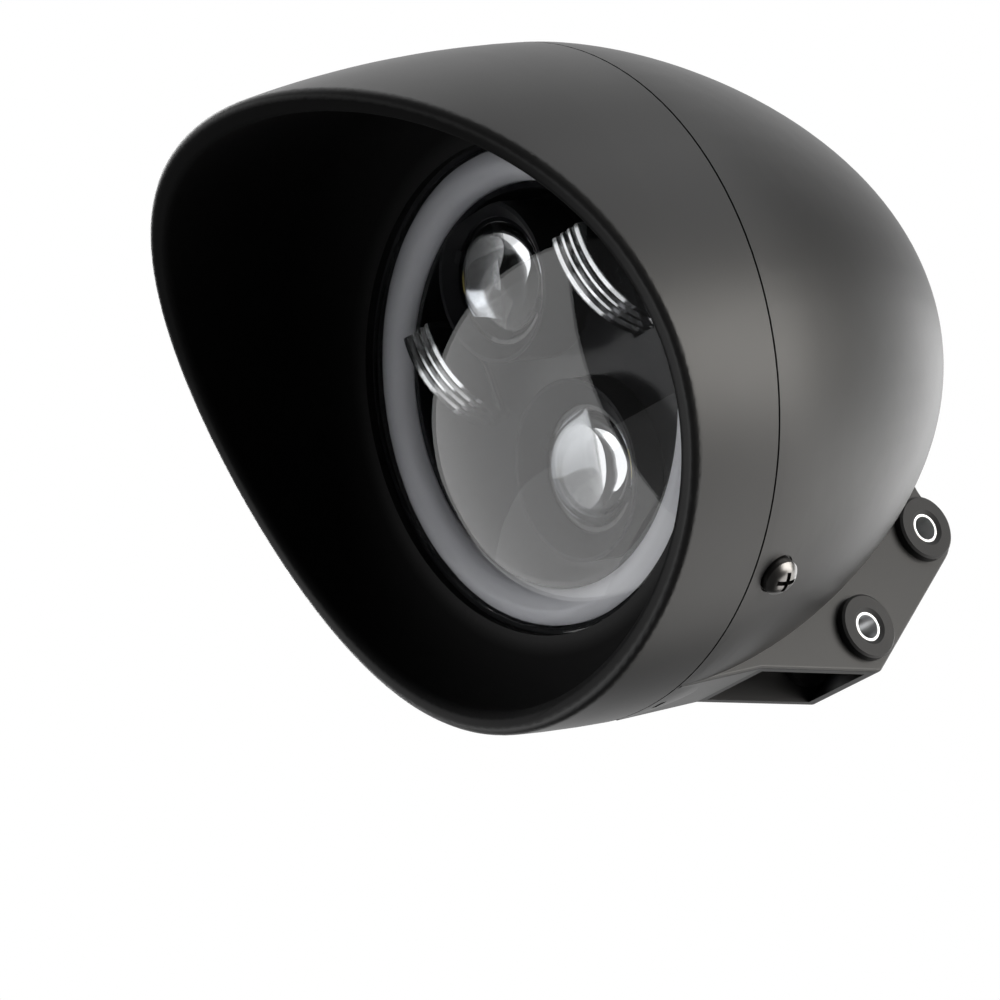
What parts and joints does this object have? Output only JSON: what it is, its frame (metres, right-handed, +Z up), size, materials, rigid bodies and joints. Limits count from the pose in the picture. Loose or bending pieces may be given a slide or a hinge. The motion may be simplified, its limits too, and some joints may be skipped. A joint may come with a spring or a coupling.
{
  "type": "motorcycle spotlight",
  "caption": "Bullet-shaped motorcycle spotlight with a hooded visor, a domed lens over a frosted ring and projector optics, and a rubber-bushed mounting channel below.",
  "frame": {"origin": "middle of the lower mounting bolt's axis, on the lamp's middle plane", "axes": "the lens faces -Y, +Z is up, +X is the lamp's own left, along the mounting bolts"},
  "size_m": [0.187, 0.2171, 0.192],
  "materials": {
    "shell": "satin black",
    "black_screw": "black zinc",
    "rubber": "matt",
    "bright_steel": "bright zinc",
    "zinc_plate": "zinc plated",
    "cast_aluminium": "black anodised casting",
    "clear_cover": "clear polycarbonate",
    "clear_optic": "clear",
    "frosted": "frosted white",
    "gloss_black": "gloss black",
    "mirror": "metallised",
    "board": "black solder mask",
    "light_source": "phosphor yellow"
  },
  "bodies": {
    "root": {"visor": "shell", "bucket": "shell", "visor_screws": "black_screw", "lamp_gasket": "rubber", "retaining_ring": "zinc_plate", "ring_screws": "zinc_plate", "wiring_grommet": "rubber", "lamp_housing": "cast_aluminium", "cover_lens": "clear_cover", "lens_seal": "rubber", "halo_ring": "frosted", "halo_board": "board", "halo_leds": "light_source", "inner_bezel": "gloss_black", "upper_projector_lens": "clear_optic", "lower_projector_lens": "clear_optic", "upper_barrel": "gloss_black", "lower_barrel": "gloss_black", "upper_reflector": "mirror", "lower_reflector": "mirror", "left_side_lens": "clear_optic", "right_side_lens": "clear_optic", "beam_board": "board", "beam_leds": "light_source", "board_screws": "zinc_plate", "driver_board": "board", "driver_cover": "cast_aluminium", "cover_screws": "zinc_plate", "cable_gland": "rubber", "breather": "rubber", "upper_left_grommet": "rubber", "upper_left_collar": "bright_steel", "upper_right_grommet": "rubber", "upper_right_collar": "bright_steel", "lower_left_grommet": "rubber", "lower_left_collar": "bright_steel", "lower_right_grommet": "rubber", "lower_right_collar": "bright_steel"}
  },
  "joints": []
}
